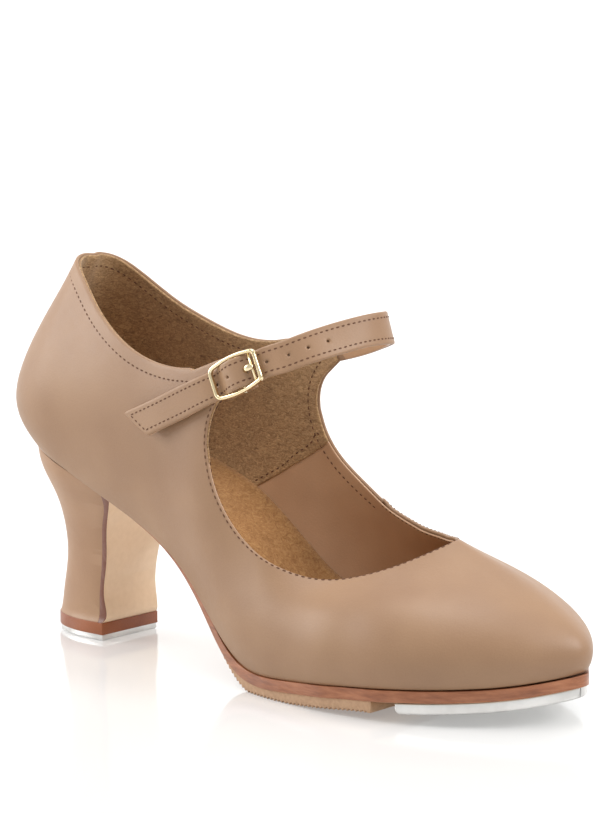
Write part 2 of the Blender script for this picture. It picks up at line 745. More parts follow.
vamp = make_object("vamp_leather", *thick(*vamp_sheet, LEATHER))
quarter = make_object("quarter_and_strap_leather", *thick(*quarter_sheet, LEATHER))
strap_lining_sheet = strap_sheet(depth=LEATHER + 0.04, punched=[HOLES_PAST_PRONG])
strap_lining = make_object("strap_lining_leather", *thick(*strap_lining_sheet, STRAP_LINING))


# ---------------------------------------------------------------- lining
LINING_DEPTH = 1.27
LINING_LOW_EXTRA = 0.8
LINING_ROWS = 44
LINING_SHARES = np.linspace(0.02, 1, LINING_ROWS)
(seam_low_x, seam_low_z), (seam_high_x, seam_high_z) = LINING_SEAM
SEAM_RISE = (seam_high_z - seam_low_z) / (seam_high_x - seam_low_x)


def seam_path(side):
    """Ring sample of the slanted lining seam at each height share of the wall."""
    span = np.linspace(ring_at_x(seam_low_x - 3, side), ring_at_x(seam_high_x + 16, side), 260)
    places = []
    for share in LINING_SHARES:
        points, _ = on_skin(span, top_at(span) * share)
        over = points[:, 2] - (seam_low_z + (points[:, 0] - seam_low_x) * SEAM_RISE)
        # the wall is over the line at the rear and under it farther forward
        k = int(np.argmax(over < 0)) if np.any(over < 0) else len(span) - 1
        if k == 0:
            places.append(span[0])
            continue
        t = over[k - 1] / (over[k - 1] - over[k])
        places.append(span[k - 1] + t * (span[k] - span[k - 1]))
    return smooth(np.array(places), 1.2)


med_seam = seam_path(1)
lat_seam = seam_path(-1)


def leaning_sheet(us, start, end):
    """Sheet whose side edges follow two seam paths."""
    share = ((us - us[0]) / (us[-1] - us[0]))[:, None]
    u = start[None, :] + (end - start)[None, :] * share
    # at the topline the columns stand where the tabs' columns do
    near_top = np.clip((LINING_SHARES - 0.6) / 0.4, 0, 1)[None, :] ** 2
    own = us[:, None] + ((start - start[-1]) * (1 - share) + (end - end[-1]) * share)
    u = u * (1 - near_top) + own * near_top
    v = top_at(u.ravel()).reshape(u.shape) * LINING_SHARES[None, :]
    points, normals = on_skin(u.ravel(), v.ravel())
    depths = LINING_DEPTH + LINING_LOW_EXTRA * (1 - LINING_SHARES) ** 0.7
    points = points.reshape(u.shape + (3,)) - normals.reshape(u.shape + (3,)) * depths[None, :, None]
    return points.reshape(-1, 3), normals, grid_faces(len(us), LINING_ROWS)


lining_top_us = np.concatenate([
    columns_between(med_seam[-1] - RING_SAMPLES, med_d - RING_SAMPLES)[:-1],
    medial_tab_us - RING_SAMPLES,
    columns_between(med_a - RING_SAMPLES, lat_a)[1:-1],
    lateral_tab_us,
    columns_between(lat_d, lat_seam[-1])[1:],
])
lining_sheet = joined(
    leaning_sheet(lining_top_us, med_seam - RING_SAMPLES, lat_seam),
    tab_sheet(medial_tab_us, 1, medial, depth=LINING_DEPTH),
    tab_sheet(lateral_tab_us, -1, lateral, depth=LINING_DEPTH),
)
lining_points, lining_faces = thick(*lining_sheet, SUEDE)
quarter_lining = make_object("quarter_lining_suede", lining_points, lining_faces)
vamp_lining_us = columns_between(lat_seam[-1], med_seam[-1])
vamp_lining_sheet = leaning_sheet(vamp_lining_us, lat_seam, med_seam)
vamp_lining_points, vamp_lining_faces = thick(*vamp_lining_sheet, VAMP_LINING)
vamp_lining = make_object("vamp_lining_leather", vamp_lining_points, vamp_lining_faces)

# cloth between leather and lining, cut back from the topline
cloth_sheet = body_sheet(columns_between(0, RING_SAMPLES), 0.02, depth=LEATHER + 0.015, drop=1.6)
cloth = make_object("interlining_cloth", *thick(*cloth_sheet, CLOTH, rounds=2))


RIM_REACH = 1.35
RIM_OVER = 0.03  # metres; the wall's foot stays out


def pale_rim(obj):
    """Second material on the faces close to the topline, where the lining's cut edge shows."""
    tree = KDTree(len(topline))
    for k, p in enumerate(topline):
        tree.insert(Vector(p * MM), k)
    tree.balance()
    for face in obj.data.polygons:
        if face.center.z > RIM_OVER and tree.find(face.center)[2] < RIM_REACH * MM:
            face.material_index = 1


# ---------------------------------------------------------------- sock
def graded(pairs, x):
    """Value at x on the line through the (x, value) pairs."""
    return np.interp(x, [p[0] for p in pairs], [p[1] for p in pairs])


SOCK_LATERAL = 6.6
SOCK_MEDIAL = ((-20, 6.6), (20, 8.2), (35, 11), (50, 12.6), (84, 12.4), (105, 9.5), (130, 7), (200, 6.6))
WALL_DEPTH = 3.0
SOCK_RISE = 5.75  # over the feather line
SOCK_ROWS = 150
SOCK_COLUMNS = 22


def wall_point(x, side, height):
    """Point of the inner wall at a height over the feather line, in the column whose foot is at x."""
    u = ring_at_x(x, side)
    shares = np.linspace(0, 1, SECTION_SAMPLES)
    column, normals = on_skin(np.full(SECTION_SAMPLES, u), shares)
    inner = column - normals * WALL_DEPTH
    share = np.interp(feather(x) + height, inner[:60, 2], shares[:60])
    point, normal = on_skin(np.array([u]), np.array([share]))
    return point[0] - normal[0] * WALL_DEPTH


def sock_sheet():
    """Grid of the sock, which runs up the walls at both sides."""
    xs = np.linspace(0, 1, SOCK_ROWS)
    low_x, high_x = foot[:, 0].min() + 0.4, foot[:, 0].max() - 0.6
    xs = low_x + (high_x - low_x) * (1 - np.cos(math.pi * xs)) / 2
    points = []
    for x in xs:
        a, b = wall_point(x, -1, SOCK_LATERAL), wall_point(x, 1, graded(SOCK_MEDIAL, x))
        share = np.linspace(0, 1, SOCK_COLUMNS)[:, None]
        row = a * (1 - share) + b * share
        flat = feather(row[:, 0]) + SOCK_RISE
        row[:, 2] = flat + (a[2] - flat) * (1 - share[:, 0]) ** 3 + (b[2] - flat) * share[:, 0] ** 2.6
        points.append(row)
    points = np.array(points)
    normals = np.zeros_like(points)
    normals[..., 2] = 1
    return points.reshape(-1, 3), normals.reshape(-1, 3), grid_faces(SOCK_ROWS, SOCK_COLUMNS)


sock = make_object("sock_suede", *thick(*sock_sheet(), SOCK, rounds=4))


# ---------------------------------------------------------------- bottom
WAIST_INSETS = [(20, 4.6), (45, 2.6), (75, 0.2), (92, -0.7)]
WAIST_THICKNESSES = [(45, 1.9), (70, 2.4), (92, 3.5)]
GLUE = 0.05
ring_tangent = np.roll(foot[:, :2], -5, 0) - np.roll(foot[:, :2], 5, 0)
ring_out = unit(np.stack([ring_tangent[:, 1], -ring_tangent[:, 0]], axis=1))
if ring_out[RING_SAMPLES // 4] @ np.array([0, -1.0]) < 0:
    ring_out = -ring_out


def outline_at(x, side, inset):
    u = ring_at_x(x, side)
    k = int(u) % RING_SAMPLES
    return foot[k, :2] - ring_out[k] * inset, ring_out[k]


PLATE_COLUMNS = 16
CORNER_STEPS = 4


def plate(name, xs, inset, top, bottom, low_corner, top_corner, bow=None):
    """Closed plate under the last with rounded long edges. top and bottom give heights at x."""
    across, steps = PLATE_COLUMNS, CORNER_STEPS
    rings = []
    for x in xs:
        shift = bow(x) if bow else 0.0
        lat, lat_out = outline_at(min(x + shift, foot[:, 0].max()), -1, inset(x))
        med, med_out = outline_at(min(x + shift, foot[:, 0].max()), 1, inset(x))
        high, low = top(x), bottom(x)
        thickness = max(high - low, 0.02)
        rl = min(low_corner, thickness * 0.48)
        rt = min(top_corner, thickness * 0.48)
        share = np.linspace(0, 1, across + 1)
        bend = shift * ((2 * share - 1) ** 2 - 1)
        reach = max(rl, rt)
        flat_lat, flat_med = lat - lat_out * reach, med - med_out * reach
        line = flat_lat * (1 - share[:, None]) + flat_med * share[:, None]
        line = line + np.stack([bend, 0 * bend], axis=1)
        row = [(p[0], p[1], high) for p in line]
        arcs = np.linspace(0, math.pi / 2, steps + 1)
        turn = [(reach - rt + rt * math.sin(a), high - rt + rt * math.cos(a)) for a in arcs]
        turn += [(reach - rl + rl * math.cos(a), low + rl - rl * math.sin(a)) for a in arcs]
        row += [(flat_med[0] + med_out[0] * a, flat_med[1] + med_out[1] * a, z) for a, z in turn]
        row += [(p[0], p[1], low) for p in line[::-1]]
        row += [(flat_lat[0] + lat_out[0] * a, flat_lat[1] + lat_out[1] * a, z) for a, z in turn[::-1]]
        rings.append(row)
    rings = np.array(rings)
    count, size = rings.shape[:2]
    faces = []
    for k in range(count - 1):
        for j in range(size):
            j2 = (j + 1) % size
            faces.append((k * size + j, k * size + j2, (k + 1) * size + j2, (k + 1) * size + j))
    n = across + 1
    turned = 2 * (steps + 1)
    for k in (0, count - 1):
        base = k * size
        top_row = [base + j for j in range(n)]
        med_side = [base + n + j for j in range(turned)]
        low_row = [base + n + turned + j for j in range(n)][::-1]
        lat_side = [base + 2 * n + turned + j for j in range(turned)]
        strips = [(top_row[j], top_row[j + 1], low_row[j + 1], low_row[j]) for j in range(across)]
        strips.append(tuple([top_row[-1]] + med_side + [low_row[-1]]))
        strips.append(tuple([low_row[0]] + lat_side + [top_row[0]]))
        faces += strips
    points, _, faces = welded(rings.reshape(-1, 3), rings.reshape(-1, 3) * 0, faces, gap=0.003)
    return tidy(make_object(name, points, faces))


def tidy(obj):
    bm = bmesh.new()
    bm.from_mesh(obj.data)
    bmesh.ops.dissolve_degenerate(bm, edges=bm.edges, dist=1e-7)
    bmesh.ops.recalc_face_normals(bm, faces=bm.faces)
    bm.to_mesh(obj.data)
    bm.free()
    return obj


ROUNDED_FROM = 35  # degrees between faces, from which an edge is rounded
SHARP_FROM = 32


def softened(node, name, width):
    """Copy of a hard CAD node with small rounds on its edges."""
    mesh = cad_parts[node].data.copy()
    obj = bpy.data.objects.new(name, mesh)
    bpy.context.scene.collection.objects.link(obj)
    bm = bmesh.new()
    bm.from_mesh(mesh)
    bmesh.ops.remove_doubles(bm, verts=bm.verts, dist=2e-6)
    bmesh.ops.dissolve_limit(bm, angle_limit=math.radians(0.8), verts=bm.verts, edges=bm.edges)
    edges = [e for e in bm.edges if e.is_manifold and e.calc_face_angle(0) > math.radians(ROUNDED_FROM)]
    bmesh.ops.bevel(
        bm, geom=edges, offset=width * MM, segments=2, profile=0.5, affect="EDGES", clamp_overlap=True,
    )
    bmesh.ops.recalc_face_normals(bm, faces=bm.faces)
    bm.to_mesh(mesh)
    bm.free()
    mesh.polygons.foreach_set("use_smooth", [True] * len(mesh.polygons))
    mesh.set_sharp_from_angle(angle=math.radians(SHARP_FROM))
    return obj


RIB_PITCH = 1.6
RIB_DEPTH = 0.75
RIBS_START, RIBS_FULL, RIBS_END = 76, 84, 144.8
HALF_SOLE_START, HALF_SOLE_FULL, HALF_SOLE_END = 68.0, 96.0, 146.4
HALF_SOLE_LOWS = [(HALF_SOLE_START, 2.5), (HALF_SOLE_FULL, 7.05)]
BEVEL_START = 144.9  # the front end's underside rises from here
BEVEL_RISE = 2.2


def half_sole_bottom(x):
    """Height of the ribbed underside at x."""
    low = max(feather(x) - graded(HALF_SOLE_LOWS, x), 0.0, (x - BEVEL_START) * BEVEL_RISE)
    ribbed = np.clip((x - RIBS_START) / (RIBS_FULL - RIBS_START), 0, 1) * (x < RIBS_END)
    return float(low + RIB_DEPTH * ribbed * (0.5 - 0.5 * math.cos(2 * math.pi * x / RIB_PITCH)) ** 0.7)


half_sole = plate(
    "half_sole_rubber",
    np.concatenate([
        np.arange(HALF_SOLE_START, HALF_SOLE_END - 2.2, RIB_PITCH / 6),
        np.linspace(HALF_SOLE_END - 1.9, HALF_SOLE_END - 0.1, 6),
    ]),
    lambda x: graded(WAIST_INSETS, x) + 0.3,
    lambda x: float(feather(x) - graded(WAIST_THICKNESSES, x) - GLUE),
    half_sole_bottom, low_corner=0.3, top_corner=0.15,
)

TAP_START = 150.2
TAP_TOP = 3.55 + 0.12
TAP_BOTTOM = 7.0
TAP_INSET = -0.2
TAP_ROUND = 1.2  # at the tap's rear end
TAP_BOW = 3.5
TAP_BOW_LENGTH = 30
toe_x = foot[:, 0].max()
tap_xs = np.concatenate([
    TAP_START + TAP_ROUND * (1 - np.cos(np.linspace(0, math.pi / 2, 7))),
    toe_x - TAP_INSET - (toe_x - TAP_INSET - TAP_START - 1.4) * (1 - np.linspace(0, 1, 70)) ** 1.8,
])


def tap_bottom(x):
    near = min(x - TAP_START, TAP_ROUND)
    drop = math.sqrt(max(1.44 - (TAP_ROUND - near) ** 2, 0))
    return float(feather(x) - TAP_BOTTOM + TAP_ROUND - drop)


toe_tap = plate(
    "toe_tap_plate",
    tap_xs,
    lambda x: TAP_INSET,
    lambda x: float(feather(x) - TAP_TOP),
    tap_bottom,
    low_corner=1.0,
    top_corner=0.25,
    bow=lambda x: TAP_BOW * max(0.0, 1 - (x - TAP_START) / TAP_BOW_LENGTH),
)
outsole = softened("outsole", "outsole_leather", 0.45)
top_lift = softened("top_lift", "top_lift_leather", 0.25)
heel_tap = softened("heel_tap", "heel_tap_plate", 0.35)
heel_cover = softened("heel_cover", "heel_cover_leather", 0.25)


# ---------------------------------------------------------------- buckle
def sweep(path, across, upward, radii_a, radii_b, sides=12, closed=False, power=2.0):
    """Tube along a path with a given cross-section."""
    path = np.asarray(path, float)
    n = len(path)
    radii_a = np.broadcast_to(radii_a, n)
    radii_b = np.broadcast_to(radii_b, n)
    points = []
    for k in range(n):
        for j in range(sides):
            t = 2 * math.pi * j / sides
            c, q = math.cos(t), math.sin(t)
            c = math.copysign(abs(c) ** (2 / power), c)
            q = math.copysign(abs(q) ** (2 / power), q)
            points.append(path[k] + across[k] * radii_a[k] * c + upward[k] * radii_b[k] * q)
    faces = []
    for k in range(n if closed else n - 1):
        k2 = (k + 1) % n
        for j in range(sides):
            j2 = (j + 1) % sides
            faces.append((k * sides + j, k * sides + j2, k2 * sides + j2, k2 * sides + j))
    if not closed:
        faces.append(tuple(range(sides))[::-1])
        faces.append(tuple((n - 1) * sides + j for j in range(sides)))
    return np.array(points), faces


def merged(name, parts):
    points, faces, start = [], [], 0
    for p, f in parts:
        points.append(p)
        faces += [tuple(k + start for k in face) for face in f]
        start += len(p)
    return tidy(make_object(name, np.vstack(points), faces))


FRAME_HALF_LENGTH = 8.58
FRAME_HALF_END = 4.5
FRAME_HALF_MIDDLE = 5.6
FRAME_LEVEL = 2.3


def frame_line():
    side_u = np.linspace(FRAME_HALF_LENGTH - 1.0, -FRAME_HALF_LENGTH + 1.9, 40)
    side_w = FRAME_HALF_MIDDLE - (FRAME_HALF_MIDDLE - FRAME_HALF_END) * (side_u / FRAME_HALF_LENGTH) ** 2
    arcs = np.linspace(0, math.pi / 2, 9)
    right = np.stack([
        FRAME_HALF_LENGTH - 1.0 + 1.0 * np.cos(arcs), side_w[0] - 1.0 + 1.0 * np.sin(arcs)], axis=1)
    left = np.stack([
        side_u[-1] - 1.9 * np.sin(arcs), side_w[-1] - 1.9 + 1.9 * np.cos(arcs)], axis=1)
    upper = np.vstack([right, np.stack([side_u, side_w], axis=1)[1:-1], left])
    lower = upper[::-1] * np.array([1, -1])
    loop = np.vstack([upper, lower])
    loop = evenly(np.vstack([loop, loop[:1]]), 161)[:-1]
    return smooth(loop, 1.2, closed=True)


loop = frame_line()
loop_tangent = unit(np.roll(loop, -1, 0) - np.roll(loop, 1, 0))
loop_points = in_buckle(loop[:, 0], loop[:, 1], np.full(len(loop), FRAME_LEVEL))
loop_out = loop_tangent[:, 1:] * buckle_x - loop_tangent[:, :1] * buckle_y
rises = np.tile(buckle_z, (len(loop), 1))
frame_parts = [sweep(loop_points, loop_out, rises, 0.62, 0.78, sides=16, closed=True, power=2.8)]


def straight_bar(start, end, radius):
    """Round bar between two places given in the buckle's frame."""
    path = np.array([in_buckle(*start), in_buckle(*end)])
    t = unit(path[1] - path[0])
    a = unit(np.cross(t, buckle_z)) if abs(t @ buckle_z) < 0.9 else buckle_x
    b = np.cross(t, a)
    return sweep(path, [a, a], [b, b], radius, radius, sides=14)


INNER_BAR = FRAME_HALF_LENGTH - 2.15
INNER_BAR_HALF, INNER_BAR_LEVEL = 4.75, 2.2
bar_ends = [(INNER_BAR, side * INNER_BAR_HALF, INNER_BAR_LEVEL) for side in (-1, 1)]
frame_parts.append(straight_bar(*bar_ends, 0.45))
frame_parts.append(straight_bar((0, -FRAME_HALF_MIDDLE, 0), (0, FRAME_HALF_MIDDLE, 0), 0.7))
for side in (-1, 1):
    post = side * (FRAME_HALF_MIDDLE - 0.1)
    frame_parts.append(straight_bar((0, post, -0.3), (0, post, FRAME_LEVEL), 0.55))
    lug = [(q, side * (FRAME_HALF_MIDDLE - 0.6), FRAME_LEVEL) for q in (-0.8, 0.8)]
    frame_parts.append(straight_bar(lug[0], lug[1], 0.45))
buckle = merged("buckle_frame_wire", frame_parts)

PRONG_SHAPE = [(0.9, 0.35), (2.5, 0.75), (3.6, 1.3), (4.2, 2.75), (5.2, 3.4), (6.4, 3.4), (7.5, 3.2)]
PRONG_POINTS = 40
PRONG_RING_POINTS = 24
PRONG_RING_RADIUS = 1.25
prong_line = through(PRONG_SHAPE, PRONG_POINTS)
prong_t = unit(np.gradient(prong_line, axis=0))
prong_up = -prong_t[:, 1:] * buckle_x + prong_t[:, :1] * buckle_z
prong_share = np.linspace(0, 1, PRONG_POINTS)
prong_width = graded([(0, 0.8), (0.55, 0.9), (0.8, 1.02), (0.95, 0.9), (1.0, 0.35)], prong_share)
prong_height = graded([(0, 0.5), (0.55, 0.55), (0.8, 0.6), (0.95, 0.5), (1.0, 0.18)], prong_share)
prong_points = in_buckle(prong_line[:, 0], 0 * prong_line[:, 0], prong_line[:, 1])
ring_turn = np.linspace(0, 2 * math.pi, PRONG_RING_POINTS + 1)[:-1]
ring_points = in_buckle(
    PRONG_RING_RADIUS * np.cos(ring_turn), 0 * ring_turn, PRONG_RING_RADIUS * np.sin(ring_turn)
)
ring_ups = np.cos(ring_turn)[:, None] * buckle_x + np.sin(ring_turn)[:, None] * buckle_z
prong = merged("buckle_prong_tongue", [
    sweep(
        prong_points, np.tile(buckle_y, (PRONG_POINTS, 1)), prong_up, prong_width, prong_height,
        sides=14, power=2.4,
    ),
    sweep(
        ring_points, np.tile(buckle_y, (PRONG_RING_POINTS, 1)), ring_ups, 0.9, 0.4,
        sides=10, closed=True,
    ),
])


# ---------------------------------------------------------------- stitching
THREAD_HEIGHT = 0.24


def stitches(name, rows, pitch=2.1, length=1.25, width=0.52):
    """Rows of short thread ends that lie on the leather. A row is points and outward normals."""
    rings, around = 5, 8
    template = []
    for i in range(1, rings):
        a = math.pi * i / rings
        for j in range(around):
            b = 2 * math.pi * j / around
            template.append((-math.cos(a), math.sin(a) * math.cos(b), math.sin(a) * math.sin(b)))
    template = [(-1, 0, 0)] + template + [(1, 0, 0)]
    template = np.array(template)
    last = len(template) - 1
    faces = []
    for j in range(around):
        j2 = (j + 1) % around
        faces.append((0, 1 + j2, 1 + j))
        faces.append((last, last - around + j, last - around + j2))
        for i in range(rings - 2):
            a0 = 1 + i * around
            faces.append((a0 + j, a0 + j2, a0 + around + j2, a0 + around + j))
    all_points, all_faces, start = [], [], 0
    for points, normals in rows:
        run = chords(points)
        count = int(run[-1] / pitch)
        for k in range(count):
            at = (k + 0.5) * run[-1] / count
            centre = np.array([np.interp(at, run, points[:, q]) for q in range(3)])
            ahead = np.array([np.interp(at + 0.4, run, points[:, q]) for q in range(3)])
            behind = np.array([np.interp(at - 0.4, run, points[:, q]) for q in range(3)])
            t = unit(ahead - behind)
            n = np.array([np.interp(at, run, normals[:, q]) for q in range(3)])
            n = unit(n - t * (n @ t))
            b = np.cross(n, t)
            shape = template[:, :1] * t * length / 2 + template[:, 1:2] * b * width / 2
            shape = shape + template[:, 2:] * n * THREAD_HEIGHT / 2
            all_points.append(centre + n * 0.03 + shape)
            all_faces += [tuple(q + start for q in f) for f in faces]
            start += len(template)
    return make_object(name, np.vstack(all_points), all_faces)


def tree_of(points, faces):
    return BVHTree.FromPolygons([tuple(p) for p in points], [tuple(int(k) for k in f) for f in faces])


def inset_row(edge, normals, sheet_tree, inset, flip):
    """Row that runs on the sheet at a distance inside an edge."""
    t = unit(np.gradient(edge, axis=0))
    inward = np.cross(normals, t) * flip
    moved, out = [], []
    for p, n, b in zip(edge, normals, inward):
        place, normal, _, _ = sheet_tree.find_nearest(Vector(p + b * inset))
        normal = np.array(normal)
        if normal @ n < 0:
            normal = -normal
        moved.append(np.array(place))
        out.append(normal)
    moved = smooth(np.array(moved), 2.0)
    return moved, np.array(out)


def tab_edges(us, side, shape):
    p, n, _ = tab_sheet(us, side, shape)
    p, n = p.reshape(-1, len(us), 3), n.reshape(-1, len(us), 3)
    return (p[:, 0], n[:, 0]), (p[:, -1], n[:, -1])


def edge_row(us):
    return on_skin(us, top_at(us))


EDGE_STITCH = 3.6
vamp_tree = tree_of(vamp_sheet[0], vamp_sheet[2])
quarter_tree = tree_of(quarter_sheet[0], quarter_sheet[2])
(lat_high, lat_high_n), (lat_low, lat_low_n) = tab_edges(lateral_tab_us, -1, lateral)
(med_high, med_high_n), (med_low, med_low_n) = tab_edges(medial_tab_us, 1, medial)


def edge_stitches(edge, normals, sheet_tree, toward):
    """Row inside an edge, on its side that faces the place toward."""
    middle = len(edge) // 2
    t = unit(edge[middle + 1] - edge[middle - 1])
    inward = np.cross(normals[middle], t)
    flip = 1.0 if inward @ (np.asarray(toward) - edge[middle]) > 0 else -1.0
    return inset_row(edge, normals, sheet_tree, EDGE_STITCH, flip)


def under(edge):
    """A place under the middle of an edge."""
    return edge[len(edge) // 2] - np.array([0, 0, 20])


collar_p, collar_n = edge_row(columns_between(0.0, lat_a))
collar_p = np.vstack([collar_p, lat_high[1:-2]])
collar_n = np.vstack([collar_n, lat_high_n[1:-2]])
front_p, front_n = edge_row(columns_between(lat_d, seam_u))
front_p = np.vstack([lat_low[2:-1][::-1], front_p])
front_n = np.vstack([lat_low_n[2:-1][::-1], front_n])
vamp_rows = [
    edge_stitches(collar_p, collar_n, vamp_tree, under(collar_p)),
    edge_stitches(front_p, front_n, vamp_tree, (120, -20, 20)),
]
STRAP_STITCH = 1.35 / STRAP_WIDTH  # share across the strap
TAIL_STITCH = 1.3  # from the strap's end
strap_runs = np.linspace(2.0, STRAP_LENGTH - TAIL_STITCH, 500)


def strap_row(runs, shares):
    runs, shares = (np.array(v) for v in np.broadcast_arrays(runs, shares))
    return strap_point(runs, shares), strap_normal(runs, shares)


medial_front_p, medial_front_n = edge_row(columns_between(seam_u, med_d))
medial_front_p = np.vstack([medial_front_p, med_low[1:]])
medial_front_n = np.vstack([medial_front_n, med_low_n[1:]])
medial_collar_p, medial_collar_n = edge_row(columns_between(med_a, RING_SAMPLES - 0.001))
medial_collar_p = np.vstack([med_high[1:][::-1], medial_collar_p])
medial_collar_n = np.vstack([med_high_n[1:][::-1], medial_collar_n])
quarter_rows = [
    edge_stitches(medial_front_p, medial_front_n, quarter_tree, (88, 28, 30)),
    edge_stitches(medial_collar_p, medial_collar_n, quarter_tree, under(medial_collar_p)),
]
end_share = np.linspace(STRAP_STITCH, 1 - STRAP_STITCH, 20)
strap_rows = [
    strap_row(strap_runs, STRAP_STITCH),
    strap_row(strap_runs, 1 - STRAP_STITCH),
    strap_row(STRAP_LENGTH - TAIL_STITCH, end_share),
]
upper_thread = stitches("upper_stitching", vamp_rows + quarter_rows)
strap_thread = stitches("strap_stitching", strap_rows, pitch=1.9, length=1.15, width=0.5)

# lining seam: a row beside the suede's front edge, seen from inside
SEAM_STITCH = 8
seam_rows = []
for path, toward_heel in ((med_seam, 1), (lat_seam, -1)):
    u = path + toward_heel * SEAM_STITCH
    p, n = on_skin(u, top_at(u) * LINING_SHARES)
    depths = LINING_DEPTH + LINING_LOW_EXTRA * (1 - LINING_SHARES[:, None]) ** 0.7 + 1.0
    seam_rows.append(((p - n * depths)[2:-2], -n[2:-2]))


INNER_REACH = 8.0


def inner_row(row, trees):
    """The same row where its thread comes out on the lining."""
    points, normals = [], []
    for p, n in zip(*row):
        for tree in trees:
            place = tree.ray_cast(Vector(p - n * INNER_REACH), Vector(n), INNER_REACH)[0]
            if place is not None:
                points.append(np.array(place))
                normals.append(-n)
                break
    return smooth(np.array(points), 1.5), np.array(normals)


lining_trees = [
    tree_of(lining_points, lining_faces),
    tree_of(vamp_lining_points, vamp_lining_faces),
]
seam_rows += [inner_row(row, lining_trees) for row in vamp_rows + quarter_rows]
seam_thread = stitches("lining_stitching", seam_rows, pitch=2.2)


# ---------------------------------------------------------------- materials
def srgb(r, g, b):
    """Linear colour for display values up to 255."""
    return tuple(
        (c / 255 / 12.92) if c / 255 <= 0.04045 else ((c / 255 + 0.055) / 1.055) ** 2.4 for c in (r, g, b)
    )


class Look:
    """A node material built step by step."""

    def __init__(self, name, roughness=0.5, metallic=0.0, **sockets):
        self.m = bpy.data.materials.new(name)
        self.m.use_nodes = True
        self.tree = self.m.node_tree
        self.shader = self.tree.nodes["Principled BSDF"]
        self.shader.inputs["Roughness"].default_value = roughness
        self.shader.inputs["Metallic"].default_value = metallic
        for key, value in sockets.items():
            self.shader.inputs[key.replace("_", " ")].default_value = value
        self.place = self.tree.nodes.new("ShaderNodeTexCoord").outputs["Object"]
        self.height = None

    def node(self, kind, **settings):
        made = self.tree.nodes.new(kind)
        for key, value in settings.items():
            setattr(made, key, value)
        return made

    def link(self, a, b):
        self.tree.links.new(a, b)

    def stretched(self, scale):
        made = self.node("ShaderNodeMapping")
        made.inputs["Scale"].default_value = scale
        self.link(self.place, made.inputs["Vector"])
        return made.outputs["Vector"]

    def noise(self, scale, detail=3.0, roughness=0.55, place=None, distortion=0.0):
        made = self.node("ShaderNodeTexNoise")
        made.inputs["Scale"].default_value = scale
        made.inputs["Detail"].default_value = detail
        made.inputs["Roughness"].default_value = roughness
        made.inputs["Distortion"].default_value = distortion
        self.link(place or self.place, made.inputs["Vector"])
        return made.outputs["Fac"]

    def cells(self, scale):
        made = self.node("ShaderNodeTexVoronoi", feature="F1")
        made.inputs["Scale"].default_value = scale
        self.link(self.place, made.inputs["Vector"])
        return made.outputs["Distance"]

    def ramp(self, value, *stops):
        made = self.node("ShaderNodeValToRGB")
        while len(made.color_ramp.elements) < len(stops):
            made.color_ramp.elements.new(0.5)
        for element, (place, colour) in zip(made.color_ramp.elements, stops):
            element.position = place
            element.color = (*colour, 1) if len(colour) == 3 else colour
        self.link(value, made.inputs["Fac"])
        return made.outputs["Color"]

    def mix(self, value, a, b, blend="MIX"):
        made = self.node("ShaderNodeMix", data_type="RGBA", blend_type=blend)
        for socket, item in ((made.inputs[0], value), (made.inputs[6], a), (made.inputs[7], b)):
            if isinstance(item, (int, float)):
                socket.default_value = item
            elif isinstance(item, tuple):
                socket.default_value = (*item, 1)
            else:
                self.link(item, socket)
        return made.outputs[2]

    def math(self, operation, a, b=None):
        made = self.node("ShaderNodeMath", operation=operation)
        for socket, item in zip(made.inputs, (a, b)):
            if item is None:
                continue
            if isinstance(item, (int, float)):
                socket.default_value = item
            else:
                self.link(item, socket)
        return made.outputs[0]

    def colour(self, socket):
        self.link(socket, self.shader.inputs["Base Color"])

    def rough(self, value, low, high):
        made = self.node("ShaderNodeMapRange")
        made.inputs["To Min"].default_value = low
        made.inputs["To Max"].default_value = high
        self.link(value, made.inputs["Value"])
        self.link(made.outputs["Result"], self.shader.inputs["Roughness"])

    def bump(self, value, distance, strength=1.0):
        made = self.node("ShaderNodeBump")
        made.inputs["Distance"].default_value = distance
        made.inputs["Strength"].default_value = strength
        self.link(value, made.inputs["Height"])
        if self.height is not None:
            self.link(self.height, made.inputs["Normal"])
        self.height = made.outputs["Normal"]
        self.link(self.height, self.shader.inputs["Normal"])


# Sizes in the looks are in metres, and noise scales are per metre.
def leather_look(name, light, mid, dark, gloss=0.4, grain=1.0):
    look = Look(name, roughness=gloss, Coat_Weight=0.06, Coat_Roughness=0.3)
    tone = look.noise(38, detail=2.0)
    pores = look.noise(2600, detail=2.0)
    colour = look.ramp(tone, (0.3, dark), (0.52, mid), (0.75, light))
    speckle = look.ramp(pores, (0.3, (0.9, 0.9, 0.9)), (0.6, (1, 1, 1)))
    look.colour(look.mix(0.5, colour, speckle, "MULTIPLY"))
    look.rough(look.noise(420, detail=2.0), gloss - 0.05, gloss + 0.08)
    look.bump(look.cells(1500), 0.00004 * grain, 0.55)
    look.bump(look.noise(700, detail=4.0), 0.00006 * grain, 0.35)
    return look.m


def suede_look(name, light, mid, dark, streak=(1, 1, 1)):
    look = Look(name, roughness=0.92, Sheen_Weight=0.25, Sheen_Roughness=0.5)
    look.shader.inputs["Specular IOR Level"].default_value = 0.2
    nap = look.noise(520, detail=5.0, roughness=0.65, place=look.stretched(streak), distortion=1.6)
    patches = look.noise(80, detail=4.0)
    fibre = look.noise(2200, detail=3.0, roughness=0.7)
    colour = look.ramp(nap, (0.32, dark), (0.5, mid), (0.7, light))
    shade = look.ramp(patches, (0.3, (0.88, 0.88, 0.88)), (0.65, (1.04, 1.04, 1.04)))
    colour = look.mix(0.8, colour, shade, "MULTIPLY")
    fine = look.ramp(fibre, (0.3, (0.72, 0.72, 0.72)), (0.62, (1.08, 1.08, 1.08)))
    look.colour(look.mix(0.7, colour, fine, "MULTIPLY"))
    look.bump(fibre, 0.0002, 0.5)
    look.bump(nap, 0.0003, 0.4)
    return look.m


